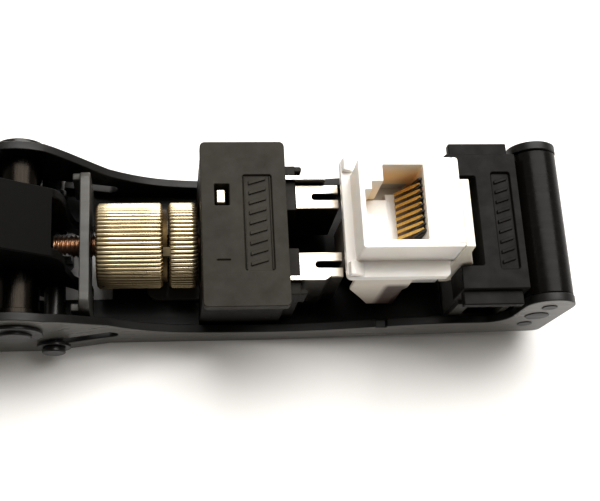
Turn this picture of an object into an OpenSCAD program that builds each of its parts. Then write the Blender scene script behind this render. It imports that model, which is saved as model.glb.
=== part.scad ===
// Keystone jack punch down tool, plier type, with a white jack loaded between its dies.
// X runs along the tool: nose at +X, handles at -X. Y = 0 is the middle plane, Z = 0 the table.
// The parts are drawn from the handle pivot, which is X = 0 in every module, and place() then
// moves them so that the origin is the bottom centre of the whole tool. Sizes are in millimetres.

/* [Frame] */
// Outside width over the two side plates
frame_w = 26.6; // [26:0.1:28]
// Thickness of a side plate
plate_t = 1.4; // [1.2:0.1:1.5]
// How far each side plate flares outward behind the ram
flare = 1.2; // [0.4:0.1:1.4]
// Height of the side plates at their waist
waist_z = 5.4; // [5:0.1:5.6]
// Height of the handle pivot above the table
pivot_z = 13; // [13:0.1:13.3]
// Diameter of the handle pivot pin
pivot_d = 5; // [4.4:0.1:5.2]

/* [Mechanism] */
// Travel of the ram from open to closed
stroke = 7; // [4:0.5:7]
// Swing of the moving handle from open to closed, in degrees
swing = 25; // [22:0.5:25]
// Diameter of the cross pin that drives the ram
cross_pin_d = 3.5; // [3:0.1:3.6]
// Diameter of the adjuster barrel
barrel_d = 13.8; // [12:0.1:14]
// Ridges of the straight knurl
knurl_count = 60; // [40:2:72]

/* [Handles] */
// Slope of the open moving handle, in degrees
open_slope = 31; // [31:1:36]
// Length of the moving handle from the pivot
lever_l = 142; // [120:1:160]
// Length of the fixed handle behind the pivot
handle_l = 138; // [120:1:160]

/* [Dies] */
// Height of the top faces of the two dies
die_top = 21.4; // [20.5:0.1:22]
// Length of the moving die along the tool
die_l = 13; // [12:0.1:13]
// Thickness of the nose block along the tool
nose_d = 7.4; // [6.4:0.1:7.6]

/* [Jack] */
// Width of the jack's front body
jack_w = 14.2; // [13.6:0.1:14.2]
// Height of the jack's face above the table
jack_top = 29.5; // [28:0.1:31]
// Distance between neighbouring contact wires
contact_pitch = 1.02; // [1:0.01:1.04]

/* [Hidden] */
$fn = 64;

out_y = frame_w / 2;
in_y = out_y - plate_t;
tail_in_y = in_y + flare;
tail_out_y = out_y + flare;
flare_x0 = 4.4;
flare_x1 = 14;

// cross pin and its slot
pin_x = 5.2;
pin_drop = 7.7;
pin_z = pivot_z - pin_drop;
pin_slot_r = cross_pin_d / 2 + 0.2;
neck_r = cross_pin_d / 2 - 0.4;
neck_slot_r = neck_r + 0.15;

// ram line
ram_z = 10.6;
stud_d = 4;
guide_x = 9.7;
guide_t = 2.1;
barrel_x = 12.3;
barrel_l = 10.4;
ring_x = 23.7;
ring_l = 4.5;
carriage_x = 28.9;

// base plate
base_z0 = 0.6;
base_z1 = 2.1;
base_x0 = -8;
floor_x0 = 14.4;
base_x1 = 78.8;
ramp_x0 = 49;
ramp_x1 = 66;
seat_z0 = 3.6;
seat_z1 = seat_z0 + base_z1 - base_z0;

// nose
nose_x = 82.6;
nose_z = 17.8;
ear_r = 3.95;
ear_x0 = nose_x - ear_r;

// moving die
die_x = 28.6;
die_end = die_x + die_l;
window_x0 = 30.7;
window_x1 = 33;
window_y0 = 2.8;
window_y1 = 6.3;
cap_y = 13.4;
core_y = in_y - 0.5;
blade_y0 = 3.65;
blade_y1 = 7.65;
blade_top = 17.3;
cutter_y0 = 7.95;
cutter_y1 = 8.65;
shroud_l = 2.2;

// fixed die
pocket_x = 71.9;
pocket_y = 7.35;
arm_front_x = 68.2;
arm_back_x = 66.2;
fixed_end = 78.7;
fixed_y = 11.2;
seat_top = 15;
screw_x = 75.3;
screw_d = 3;
screw_top = 11;
cradle_y = in_y - 0.1;
cradle_t = 1;
cradle_floor = seat_z1 + 0.8;

// jack
jack_x0 = 51.7;
jack_x1 = 66.9;
flange_z0 = 21.7;
flange_z1 = 23.2;
flange_y = 9.7;
block_x0 = 51.6;
block_x1 = 66;
block_z0 = 5.5;
mouth_x0 = 55.4;
mouth_x1 = 61.5;
mouth_y = 5.9;
mouth_z0 = 20.2;

// lever
lever_y = 5.5;
lever_t = 1.5;
lever_n = 1.2;
web_n = 10.95;
steps = 24;

// ends of the whole tool, seen from the pivot
grip_end = 3;
tool_x0 = -handle_l - grip_end;
tool_x1 = nose_x + ear_r;

// ---------- shared shapes ----------

// moves a part from the pivot's frame to the tool's own origin
module place() {
    translate([-(tool_x0 + tool_x1) / 2, 0, 0])
        children();
}

// a flat X-Z outline spread from y0 to y1
module span_y(y0, y1) {
    translate([0, y1, 0])
        rotate([90, 0, 0])
            linear_extrude(y1 - y0)
                children();
}

// a box between two corners
module block(x0, x1, y0, y1, z0, z1) {
    translate([x0, y0, z0])
        cube([x1 - x0, y1 - y0, z1 - z0]);
}

// the same box on both sides of the middle plane
module twin_block(x0, x1, y0, y1, z0, z1) {
    block(x0, x1, y0, y1, z0, z1);
    block(x0, x1, -y1, -y0, z0, z1);
}

// a round bar along Y
module bar_y(x, z, r, y0, y1) {
    span_y(y0, y1)
        translate([x, z])
            circle(r);
}

// a round bar along X on the middle plane
module bar_x(x0, x1, z, r) {
    translate([x0, 0, z])
        rotate([0, 90, 0])
            cylinder(r = r, h = x1 - x0);
}

// a rectangle with rounded corners between two points
module round_rect(x0, x1, y0, y1, r) {
    translate([x0 + r, y0])
        square([x1 - x0 - 2 * r, y1 - y0]);
    translate([x0, y0 + r])
        square([x1 - x0, y1 - y0 - 2 * r]);
    for (x = [x0 + r, x1 - r], y = [y0 + r, y1 - r])
        translate([x, y])
            circle(r);
}

// points on an arc
function arc(cx, cy, r, a0, a1, n) =
    [for (i = [0:n]) let (a = a0 + (a1 - a0) * i / n) [cx + r * cos(a), cy + r * sin(a)]];

// plan of one flared side of the frame, from y0 to y1 off the middle plane
module flared_strip(y0, y1) {
    polygon([[tail_x, y0 + flare], [flare_x0, y0 + flare], [flare_x1, y0], [tool_x1, y0],
        [tool_x1, y1], [flare_x1, y1], [flare_x0, y1 + flare], [tail_x, y1 + flare]]);
}

// ---------- side plates ----------

lobe_rise = pivot_z + 6.6 - waist_z;
tail_top = 14;
tail_x = -26;
toe_z = 3.2;
toe_x = 85.6;
heel_x = 40;
rise_l = 32;
ear_fillet = 4;
ear_gap = 0.3;
toe_r = 1.4;
tail_r = 3;
deck_z = waist_z + 3.6;
bell_back = 11;
bell_front = 14.7;

// top edge: a bell round the pivot, a long waist and a gentle rise to the nose
function bell(x, width) = exp(-pow(x / width, 2));
function rise(x) = x < heel_x ? 0 : (1 - cos(180 * min(1, (x - heel_x) / rise_l))) / 2;
function top_edge(x) = x < 0
    ? tail_top + (waist_z + lobe_rise - tail_top) * bell(x, bell_back)
    : waist_z + lobe_rise * bell(x, bell_front) + (deck_z - waist_z) * rise(x);

function plate_outline() = concat(
    [for (x = [tail_x:2:74]) [x, top_edge(x)]],
    arc(ear_x0 - ear_fillet - ear_gap, deck_z + ear_fillet, ear_fillet, -80, 0, 8),
    arc(nose_x, nose_z, ear_r, 180, 0, 20),
    arc(toe_x - toe_r, toe_z + toe_r, toe_r, 0, -88, 5),
    [[heel_x, 0], [tail_x + tail_r, 0]],
    arc(tail_x + tail_r, tail_r, tail_r, -90, -180, 6));

// slot of radius r with round ends centred on x0 and x1
module slot_x(x0, x1, z, r) {
    translate([x0, z - r])
        square([x1 - x0, 2 * r]);
    for (x = [x0, x1])
        translate([x, z])
            circle(r);
}

module plate_shape() {
    difference() {
        polygon(plate_outline());
        translate([0, pivot_z])
            circle(pivot_d / 2);
        slot_x(pin_x - 0.1, pin_x + slot_run, pin_z, neck_slot_r);
        for (p = nose_rivet_places())
            translate(p)
                circle(rivet_d / 2);
        for (x = handle_rivet_x)
            translate([x, handle_rivet_z])
                circle(rivet_d / 2);
        // small notch in the top edge below the jack
        translate([notch_x, top_edge(notch_x) - notch_depth])
            square([notch_l, 2]);
    }
}

slot_run = 8.7;
notch_x = 57.2;
notch_l = 1.8;
notch_depth = 0.5;
rivet_d = 2;
function nose_rivet_places() = [for (i = [0:2]) [nose_x - 0.45 * i, nose_z - 4.8 * i]];
handle_rivet_x = [-14, -22];
handle_rivet_z = 8;

// a sheet on the +Y side, bent outward towards the pivot
module flared_plate() {
    intersection() {
        span_y(in_y, tail_out_y)
            plate_shape();
        translate([0, 0, -1])
            linear_extrude(nose_z + ear_r + 2)
                flared_strip(in_y, out_y);
    }
}

module side_plate_front() {
    color([0.1, 0.1, 0.11])
        mirror([0, 1, 0])
            flared_plate();
}

module side_plate_back() {
    color([0.1, 0.1, 0.11])
        flared_plate();
}

// ---------- frame fittings ----------

// floor of the frame: forked round the lever, flat under the ram, then up to the fixed die's seat
module base_plate() {
    fork_y = 6.4;
    color([0.08, 0.08, 0.09])
        difference() {
            intersection() {
                span_y(-tail_in_y, tail_in_y)
                    polygon([[base_x0, base_z0], [ramp_x0, base_z0], [ramp_x1, seat_z0],
                        [base_x1, seat_z0], [base_x1, seat_z1], [ramp_x1, seat_z1],
                        [ramp_x0, base_z1], [base_x0, base_z1]]);
                translate([0, 0, -1])
                    linear_extrude(seat_z1 + 2)
                        polygon([[tail_x, -tail_in_y], [flare_x0, -tail_in_y], [flare_x1, -in_y],
                            [tool_x1, -in_y], [tool_x1, in_y], [flare_x1, in_y],
                            [flare_x0, tail_in_y], [tail_x, tail_in_y]]);
            }
            block(base_x0 - 1, floor_x0, -fork_y, fork_y, base_z0 - 1, base_z1 + 1);
            translate([0, 0, base_z0 - 1])
                linear_extrude(4)
                    round_rect(24, 42, -3, 3, 2);
        }
}

module nose_block() {
    bottom_z = nose_z - 12.6;
    mid_x = nose_x + 0.15;
    color([0.12, 0.13, 0.15])
        difference() {
            span_y(-in_y, in_y)
                union() {
                    translate([mid_x, nose_z])
                        circle(nose_d / 2);
                    translate([mid_x - nose_d / 2, bottom_z])
                        square([nose_d, nose_z - bottom_z]);
                }
            for (p = nose_rivet_places())
                bar_y(p[0], p[1], rivet_d / 2, -out_y, out_y);
        }
}

module nose_rivets() {
    head_t = 0.12;
    color([0.2, 0.2, 0.21])
        for (i = [0:2]) {
            p = nose_rivet_places()[i];
            head_r = i == 1 ? 1.9 : 1.2;
            bar_y(p[0], p[1], rivet_d / 2, -out_y, out_y);
            for (y = [-out_y - head_t, out_y])
                bar_y(p[0], p[1], head_r, y, y + head_t);
        }
}

// U-shaped seat under the fixed die, with a window in each wall
module die_cradle() {
    cradle_x = 69;
    color([0.16, 0.16, 0.16])
        difference() {
            block(cradle_x, fixed_end - 0.8, -cradle_y, cradle_y, seat_z1, seat_top);
            block(cradle_x - 1, fixed_end + 1, -cradle_y + cradle_t, cradle_y - cradle_t,
                cradle_floor, seat_top + 1);
            block(cradle_x + 2, fixed_end - 1.9, -out_y, out_y, cradle_floor + 0.6, seat_top - 1.9);
        }
}

module fixed_die_plan() {
    polygon([[arm_front_x, -fixed_y], [fixed_end, -fixed_y], [fixed_end, fixed_y],
        [arm_back_x + 1.5, fixed_y], [arm_back_x, fixed_y - 1.3], [arm_back_x, pocket_y],
        [pocket_x, pocket_y], [pocket_x, -pocket_y], [arm_front_x, -pocket_y]]);
}

module fixed_die() {
    core = cradle_y - cradle_t;
    panel_d = 0.5;
    color([0.2, 0.19, 0.19])
        difference() {
            union() {
                translate([0, 0, seat_top])
                    linear_extrude(die_top - seat_top)
                        fixed_die_plan();
                block(pocket_x, fixed_end - 0.1, -core, core, cradle_floor, seat_top);
                twin_block(arm_front_x + 0.2, ear_x0 - 0.8, fixed_y, cap_y, die_top - 2.5, die_top - 1);
            }
            // recessed plain panel
            translate([0, 0, die_top - panel_d])
                linear_extrude(1)
                    round_rect(74.5, 77.5, -8, 8, 0.4);
            for (y = [-6, 6])
                translate([screw_x, y, 0])
                    cylinder(d = screw_d, h = screw_top);
        }
}

// screws that hold the fixed die down on its seat
module fixed_die_screws() {
    color([0.6, 0.6, 0.6])
        for (y = [-6, 6])
            translate([screw_x, y, cradle_floor])
                cylinder(d = screw_d, h = screw_top - cradle_floor);
}

// ---------- pivot ----------

washer_t = 0.6;

module pivot_pin() {
    color([0.35, 0.35, 0.36]) {
        bar_y(0, pivot_z, pivot_d / 2, -tail_out_y - 1.1, tail_out_y + washer_t);
        bar_y(0, pivot_z, 4.2, tail_out_y + washer_t, tail_out_y + washer_t + 1);
        bar_y(0, pivot_z, 3.1, tail_out_y + washer_t + 1, tail_out_y + washer_t + 1.3);
    }
}

module ring_y(r_out, r_in, y0, y1) {
    span_y(y0, y1)
        translate([0, pivot_z])
            difference() {
                circle(r_out);
                circle(r_in);
            }
}

module pivot_washer() {
    color([0.4, 0.4, 0.41])
        ring_y(4.8, pivot_d / 2, tail_out_y, tail_out_y + washer_t);
}

module pivot_clip() {
    color([0.3, 0.3, 0.31])
        span_y(-tail_out_y - 0.6, -tail_out_y)
            translate([0, pivot_z])
                difference() {
                    circle(4.2);
                    circle(pivot_d / 2);
                    translate([-1.4, -6])
                        square([2.8, 6]);
                }
}

module pivot_spacers() {
    clear = 0.2;
    color([0.45, 0.45, 0.46]) {
        ring_y(3.6, pivot_d / 2, lever_y + clear, tail_in_y);
        ring_y(3.6, pivot_d / 2, -tail_in_y + 1.4, -lever_y - clear);
        ring_y(4.1, pivot_d / 2, -tail_in_y, -tail_in_y + 1.4);
    }
}

// ---------- fixed handle ----------

handle_x0 = -9.5;
handle_web_z = 2.6;
handle_top_z = 11.5;
handle_t = 1.5;
handle_y = tail_in_y - 0.05;
grip_x0 = -46;

module handle_section(y, z0, z1, t) {
    difference() {
        translate([-y, z0])
            square([2 * y, z1 - z0]);
        translate([-y + t, z0 + t])
            square([2 * y - 2 * t, z1]);
    }
}

module along_x(x0, x1) {
    translate([x0, 0, 0])
        rotate([90, 0, 90])
            linear_extrude(x1 - x0)
                children();
}

module fixed_handle() {
    color([0.1, 0.1, 0.11])
        difference() {
            along_x(-handle_l, handle_x0)
                handle_section(handle_y, handle_web_z, handle_top_z, handle_t);
            for (x = handle_rivet_x)
                bar_y(x, handle_rivet_z, rivet_d / 2, -tail_out_y, tail_out_y);
        }
}

module handle_rivets() {
    head_t = 0.9;
    color([0.25, 0.25, 0.26])
        for (x = handle_rivet_x, side = [-1, 1]) {
            inner = handle_y - handle_t;
            y0 = side > 0 ? inner : -tail_out_y - head_t;
            y1 = side > 0 ? tail_out_y + head_t : -inner;
            bar_y(x, handle_rivet_z, rivet_d / 2, y0, y1);
            bar_y(x, handle_rivet_z, 2.2, side > 0 ? tail_out_y : y0, side > 0 ? y1 : -tail_out_y);
        }
}

// soft sleeve over the fixed channel, open at the top like the channel
module fixed_grip() {
    wall = 2.4;
    color([0.13, 0.13, 0.14])
        difference() {
            along_x(tool_x0, grip_x0)
                round_rect(-handle_y - wall, handle_y + wall, 0, handle_top_z + 1.6, 2);
            along_x(-handle_l, grip_x0 + 1)
                translate([-handle_y, handle_web_z])
                    square([2 * handle_y, handle_top_z]);
        }
}

// ---------- moving handle ----------

// position in the open lever: u along the handle, n square to it
function lever_point(u, n) = [-u * cos(open_slope) + n * sin(open_slope),
    pivot_z + u * sin(open_slope) + n * cos(open_slope)];

// where the cross pin lies in the lever when the handle has turned by a
function cam_point(a) = let (x = pin_x + stroke * a / swing)
    [x * cos(a) - pin_drop * sin(a), pivot_z - x * sin(a) - pin_drop * cos(a)];

function cam_normal(a) = let (d = cam_point(a + 0.5) - cam_point(a - 0.5), l = norm(d))
    [-d[1] / l, d[0] / l];

function cam_side(s, last) =
    [for (i = [0:steps]) let (a = last * i / steps) cam_point(a) + s * pin_slot_r * cam_normal(a)];

function reversed(v) = [for (i = [len(v) - 1:-1:0]) v[i]];

// curved slot that turns a steady swing into a steady ram travel; it runs out of the lower edge
module cam_slot() {
    last = swing + 6;
    polygon(concat(cam_side(1, last), reversed(cam_side(-1, last))));
    translate([pin_x, pin_z])
        circle(pin_slot_r);
}

fork_z = 0.35;
nose_u = -0.5;

// front contour of the lever's cheeks, measured from the end of its web
cheek = [[0.45, -0.4], [1.1, -1.4], [1.5, -2.9], [1.7, -4.6], [1.7, -5.4], [1.5, -7.6]];

module lever_flange() {
    nose_top = lever_point(nose_u, web_n);
    difference() {
        union() {
            polygon(concat(
                [lever_point(lever_l, web_n), nose_top],
                [for (p = cheek) nose_top + p],
                [[8.6, 8], [11, 3.5], [11.2, fork_z], [3, fork_z + 0.15], [-1, 5.5], [-5.2, 9.8]],
                [lever_point(10, lever_n), lever_point(lever_l, lever_n)]));
            translate([0, pivot_z])
                circle(6);
        }
        translate([0, pivot_z])
            circle(pivot_d / 2 + 0.05);
        cam_slot();
    }
}

module moving_handle() {
    nose_top = lever_point(nose_u, web_n);
    nose_under = lever_point(nose_u, web_n - lever_t);
    color([0.12, 0.12, 0.13]) {
        span_y(-lever_y, -lever_y + lever_t)
            lever_flange();
        span_y(lever_y - lever_t, lever_y)
            lever_flange();
        span_y(-lever_y + lever_t, lever_y - lever_t)
            polygon([lever_point(lever_l, web_n), nose_top, nose_under,
                lever_point(lever_l, web_n - lever_t)]);
    }
}

module moving_grip() {
    wall = 2.6;
    slack = 0.03;
    start_u = 48;
    low_n = -1;
    high_n = web_n + 2;
    color([0.13, 0.13, 0.14])
        translate([0, 0, pivot_z])
            rotate([0, open_slope, 0])
                difference() {
                    along_x(-lever_l - grip_end, -start_u)
                        round_rect(-lever_y - wall, lever_y + wall, low_n, high_n, 3);
                    along_x(-lever_l - slack, -start_u + 1)
                        translate([-lever_y - slack, lever_n])
                            square([2 * (lever_y + slack), web_n + slack - lever_n]);
                }
}

// ---------- return spring ----------

module return_spring() {
    wire_r = 0.5;
    coil_r = 3.4;
    turns = 4;
    pitch = 1.15;
    per_turn = 20;
    sides = 8;
    count = turns * per_turn;
    // rings of points round the wire, one after the other along the coil
    points = [for (i = [0:count]) let (a = 360 * i / per_turn, y = pitch * (i / per_turn - turns / 2))
        for (j = [0:sides - 1]) let (b = 360 * j / sides, r = coil_r + wire_r * cos(b))
            [r * cos(a), y + wire_r * sin(b), pivot_z + r * sin(a)]];
    walls = [for (i = [0:count - 1], j = [0:sides - 1]) let (k = (j + 1) % sides)
        [i * sides + j, i * sides + k, (i + 1) * sides + k, (i + 1) * sides + j]];
    caps = [[for (j = [sides - 1:-1:0]) j], [for (j = [0:sides - 1]) count * sides + j]];
    color([0.5, 0.5, 0.5])
        polyhedron(points, concat(walls, caps));
}

// ---------- ram ----------

clip_y = tail_out_y + 0.3;
clip_t = 0.5;
pin_end = clip_y + clip_t + 0.9;

// shouldered pin: thick between the plates, a neck in their slots and a pressed head outside
module cross_pin() {
    shoulder_y = in_y - 0.4;
    color([0.3, 0.3, 0.31]) {
        bar_y(pin_x, pin_z, cross_pin_d / 2, -shoulder_y, shoulder_y);
        bar_y(pin_x, pin_z, neck_r, -pin_end, pin_end);
        for (y = [-pin_end, clip_y + clip_t])
            bar_y(pin_x, pin_z, cross_pin_d / 2 + 0.1, y, y + pin_end - clip_y - clip_t);
    }
}

module cross_pin_clips() {
    color([0.25, 0.25, 0.26])
        for (y = [-clip_y - clip_t, clip_y])
            span_y(y, y + clip_t)
                translate([pin_x, pin_z])
                    difference() {
                        circle(2.7);
                        circle(neck_r);
                        translate([-1, -4])
                            square([2, 4]);
                    }
}

// threaded rod with an eye that hangs below it on the cross pin
module drive_stud() {
    eye_y = 1.9;
    stud_x1 = 31.6;
    color([0.72, 0.5, 0.36])
        difference() {
            union() {
                bar_x(pin_x + 0.1, stud_x1, ram_z, stud_d / 2);
                bar_y(pin_x, pin_z, 3, -eye_y, eye_y);
                block(pin_x + 0.1, pin_x + 3, -eye_y, eye_y, pin_z, ram_z);
            }
            bar_y(pin_x, pin_z, cross_pin_d / 2, -eye_y - 1, eye_y + 1);
        }
}

// sheet cross head that slides between the side plates
module guide_plate() {
    guide_y = in_y - 0.4;
    guide_top = 15.2;
    lip = 1.3;
    color([0.2, 0.2, 0.21])
        difference() {
            union() {
                along_x(guide_x, guide_x + guide_t - 0.5)
                    round_rect(-guide_y, guide_y, 2.5, guide_top, 1.6);
                twin_block(guide_x - lip, guide_x, guide_y - 1.2, guide_y, 4.5, guide_top - 1.6);
            }
            block(guide_x - 2, guide_x + 3, -6.3, 6.3, 0, 7.2);
            bar_x(guide_x - 1, guide_x + 3, ram_z, stud_d / 2);
        }
}

// outline of a straight knurl
function knurl_outline(r, depth) = [for (i = [0:knurl_count - 1], k = [0:3])
    let (a = 360 / knurl_count * (i + [0, 0.3, 0.5, 0.8][k]), q = r - (k < 2 ? depth : 0))
        [q * cos(a), q * sin(a)]];

module knurled(x0, length) {
    translate([x0, 0, ram_z])
        rotate([0, 90, 0])
            linear_extrude(length)
                difference() {
                    polygon(knurl_outline(barrel_d / 2, 0.25));
                    circle(stud_d / 2 + 0.05);
                }
}

module adjuster_barrel() {
    color([0.8, 0.74, 0.6]) {
        knurled(barrel_x, barrel_l);
        difference() {
            bar_x(barrel_x + barrel_l, ring_x - 0.3, ram_z, barrel_d / 2 - 1);
            bar_x(barrel_x, ring_x, ram_z, stud_d / 2 + 0.05);
        }
    }
}

module lock_ring() {
    color([0.8, 0.74, 0.6])
        knurled(ring_x, ring_l);
}

// ---------- moving die and blades ----------

carriage_y = 7;
carriage_t = 4.3;
carriage_top = 15;

module die_carriage() {
    foot_x0 = 20.1;
    foot_z0 = base_z1 + 0.3;
    foot_z1 = 3.4;
    color([0.24, 0.24, 0.25])
        difference() {
            union() {
                translate([0, 0, foot_z0])
                    linear_extrude(foot_z1 - foot_z0)
                        round_rect(foot_x0, die_end - 0.6, -carriage_y, carriage_y, 2);
                block(carriage_x, carriage_x + carriage_t, -carriage_y, carriage_y, foot_z1, carriage_top);
            }
            bar_x(carriage_x - 1, carriage_x + carriage_t + 1, ram_z, stud_d / 2 + 0.3);
        }
}

// steel tab that stands up from the carriage and keeps the moving die on it
module die_retainer() {
    color([0.8, 0.8, 0.8])
        block(window_x0 + 0.3, window_x1 - 0.6, window_y0 + 0.5, window_y1 - 0.7,
            carriage_top, die_top - 0.5);
}

module moving_die() {
    cap_z = die_top - 1.8;
    rib_z = 15.5;
    rib_y = in_y - 0.15;
    rib_x0 = die_x + 1;
    rib_x1 = die_end - 2.3;
    color([0.27, 0.26, 0.25])
        difference() {
            union() {
                translate([0, 0, cap_z])
                    linear_extrude(die_top - cap_z)
                        round_rect(die_x, die_end + 0.25, -cap_y, cap_y, 0.8);
                block(die_x, die_end, -core_y, core_y, 3.6, cap_z);
                twin_block(rib_x0, rib_x1, core_y, rib_y, rib_z, cap_z);
                twin_block(die_end, die_end + shroud_l, blade_y0 - 0.5, cutter_y1 + 2, 4, 18);
            }
            // notch in the side ribs and the seat of the carriage
            twin_block(33.5, 36, core_y, rib_y + 1, rib_z - 1, cap_z - 1);
            block(die_x - 1, carriage_x + carriage_t, -carriage_y, carriage_y, 2, carriage_top);
            // window round the retainer
            block(window_x0, window_x1, window_y0, window_y1, carriage_top - 1, die_top + 1);
            // recessed plain panel and the index line
            translate([0, 0, die_top - 0.4])
                linear_extrude(1)
                    round_rect(35.1, 39.6, -7.8, 7.8, 0.4);
            block(window_x0 + 0.1, window_x1 - 0.1, -6.15, -5.95, die_top - 0.3, die_top + 1);
            twin_block(blade_x0, die_end + shroud_l + 1, blade_y0, blade_y1, blade_z0, blade_top);
            twin_block(blade_x0, die_end + shroud_l + 1, cutter_y0, cutter_y1, blade_z0, cap_z - 0.6);
        }
}

blade_x0 = 36;
blade_z0 = 4.6;
blade_tip = 50.7;
cutter_tip = 48.6;
fork_l = 3.8;
fork_w = 1;

// forked steel bars that push the wires down
module punch_blades() {
    mid = (blade_y0 + blade_y1) / 2;
    color([0.82, 0.82, 0.8])
        difference() {
            twin_block(blade_x0, blade_tip, blade_y0, blade_y1, blade_z0, blade_top);
            twin_block(blade_tip - fork_l, blade_tip + 1, mid - fork_w / 2, mid + fork_w / 2,
                blade_z0 - 1, blade_top + 1);
            for (y = [-mid, mid])
                translate([blade_tip - fork_l, y, blade_z0 - 1])
                    cylinder(d = fork_w, h = blade_top - blade_z0 + 2);
        }
}

// sharpened strips that trim the wires on the outside
module cutting_blades() {
    bevel = 1;
    color([0.86, 0.86, 0.84])
        for (side = [-1, 1])
            translate([0, 0, blade_z0])
                linear_extrude(die_top - 2.4 - blade_z0)
                    polygon([[blade_x0, side * cutter_y0], [blade_x0, side * cutter_y1],
                        [cutter_tip - bevel, side * cutter_y1], [cutter_tip, side * cutter_y0]]);
}

// ---------- jack ----------

mouth_steps = [[53.6, 3.3], [52.5, 2]];

module jack_housing() {
    half = jack_w / 2;
    color([0.95, 0.94, 0.91])
        difference() {
            union() {
                translate([0, 0, flange_z1])
                    linear_extrude(jack_top - flange_z1)
                        round_rect(jack_x0, jack_x1, -half, half, 0.5);
                translate([0, 0, flange_z0])
                    linear_extrude(flange_z1 - flange_z0)
                        round_rect(50.2, block_x1, -flange_y, flange_y, 0.8);
                block(block_x0 + 9, jack_x1, -half + 0.3, half - 0.3, block_z0 + 5, flange_z0);
            }
            // plug opening with the stepped notch for the plug's lever
            block(mouth_x0, mouth_x1, -mouth_y, mouth_y, mouth_z0, jack_top + 1);
            for (s = mouth_steps)
                block(s[0], mouth_x0 + 1, -s[1], s[1], flange_z0 - 1, jack_top + 1);
        }
}

// springy keystone strip on the nose side of the jack
module jack_latch() {
    color([0.93, 0.92, 0.89])
        span_y(-jack_w / 2, 3.6)
            polygon([[jack_x1, 12], [jack_x1, jack_top - 0.1], [68.3, jack_top - 0.1],
                [68.5, 26], [70.2, 21], [70.6, 15], [68.3, 12]]);
}

module jack_contacts() {
    wire = 0.5;
    wall_gap = 0.3;
    dx = 3;
    dz = 4.6;
    color([0.85, 0.65, 0.25])
        for (i = [0:7])
            translate([mouth_x1 - wall_gap, contact_pitch * (i - 3.5) - wire / 2, jack_top - 1.8])
                rotate([0, 180 - atan(dz / dx), 0])
                    cube([norm([dx, dz]), wire, 0.3]);
}

module jack_wiring_block() {
    trough_y0 = blade_y0 - 0.35;
    trough_y1 = cutter_y1 + 0.35;
    trough_x1 = block_x0 + 8;
    outer_y = flange_y - 0.1;
    color([0.9, 0.88, 0.83])
        difference() {
            union() {
                block(block_x0, block_x0 + 9, 0.1 - trough_y1, trough_y1 - 0.1, block_z0, flange_z0);
                // outer walls that narrow towards the table like a funnel
                span_y(-outer_y, outer_y)
                    polygon([[block_x0, flange_z0], [block_x0, 16.5], [53.9, 12], [55.6, 8.4],
                        [59.2, 8.2], [59.8, 15.6], [block_x0 + 9, 17.2], [block_x0 + 9, flange_z0]]);
            }
            // two deep troughs for the wires, open below so that the jack lifts off the blades
            twin_block(block_x0 - 1, trough_x1, trough_y0, trough_y1, block_z0 - 1, mouth_z0 - 0.8);
            block(mouth_x0, mouth_x1, -mouth_y, mouth_y, mouth_z0, flange_z0 + 1);
            for (s = mouth_steps)
                block(s[0], mouth_x0 + 1, -s[1], s[1], flange_z0 - 1, jack_top + 1);
        }
}

module jack_wiring_contacts() {
    mid = (blade_y0 + blade_y1) / 2;
    thick = 0.5;
    levels = 4;
    level_h = (blade_top - blade_z0) / levels;
    color([0.8, 0.75, 0.6])
        for (i = [0:levels - 1])
            twin_block(54.7, block_x0 + 8, mid - thick / 2, mid + thick / 2,
                blade_z0 + i * level_h + 0.7, blade_z0 + (i + 1) * level_h - 0.7);
}

// ---------- nodes ----------

place() side_plate_front();
place() side_plate_back();
place() base_plate();
place() nose_block();
place() nose_rivets();
place() die_cradle();
place() fixed_die();
place() fixed_die_screws();
place() pivot_pin();
place() pivot_washer();
place() pivot_clip();
place() pivot_spacers();
place() fixed_handle();
place() handle_rivets();
place() fixed_grip();
place() moving_handle();
place() moving_grip();
place() return_spring();
place() cross_pin();
place() cross_pin_clips();
place() drive_stud();
place() guide_plate();
place() adjuster_barrel();
place() lock_ring();
place() die_carriage();
place() moving_die();
place() die_retainer();
place() punch_blades();
place() cutting_blades();
place() jack_housing();
place() jack_latch();
place() jack_contacts();
place() jack_wiring_block();
place() jack_wiring_contacts();
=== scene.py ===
"""Looks of the keystone jack punch down tool: materials, rounded edges and fine pieces on the CAD frame."""

import math

import bmesh
import bpy
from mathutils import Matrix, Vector


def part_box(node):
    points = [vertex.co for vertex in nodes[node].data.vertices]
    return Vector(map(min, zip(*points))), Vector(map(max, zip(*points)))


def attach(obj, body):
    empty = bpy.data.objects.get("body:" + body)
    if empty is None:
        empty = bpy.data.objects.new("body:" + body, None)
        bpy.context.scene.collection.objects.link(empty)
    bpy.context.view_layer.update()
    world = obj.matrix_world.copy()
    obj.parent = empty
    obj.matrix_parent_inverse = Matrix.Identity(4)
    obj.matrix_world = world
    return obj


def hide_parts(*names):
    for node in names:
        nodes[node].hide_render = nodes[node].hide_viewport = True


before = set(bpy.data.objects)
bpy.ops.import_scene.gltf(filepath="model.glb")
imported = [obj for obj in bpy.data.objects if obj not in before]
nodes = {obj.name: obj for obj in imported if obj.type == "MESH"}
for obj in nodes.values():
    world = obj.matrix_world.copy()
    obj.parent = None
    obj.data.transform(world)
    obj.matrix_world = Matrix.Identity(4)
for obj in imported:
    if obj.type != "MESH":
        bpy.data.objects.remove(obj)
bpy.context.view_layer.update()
MM = 0.001

# the handle pivot is the place that the tool is drawn from
pivot_low, pivot_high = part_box("pivot_pin")
PIVOT_X = (pivot_low.x + pivot_high.x) / 2


def at(x, y, z):
    """A point in metres from millimetres that start at the pivot, the middle plane and the table."""
    return Vector((PIVOT_X + x * MM, y * MM, z * MM))


def low_high(node):
    """The node's box in millimetres from the pivot."""
    low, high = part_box(node)
    shift = Vector((PIVOT_X, 0, 0))
    return (low - shift) / MM, (high - shift) / MM


# ---------- camera, floor and light ----------


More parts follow.
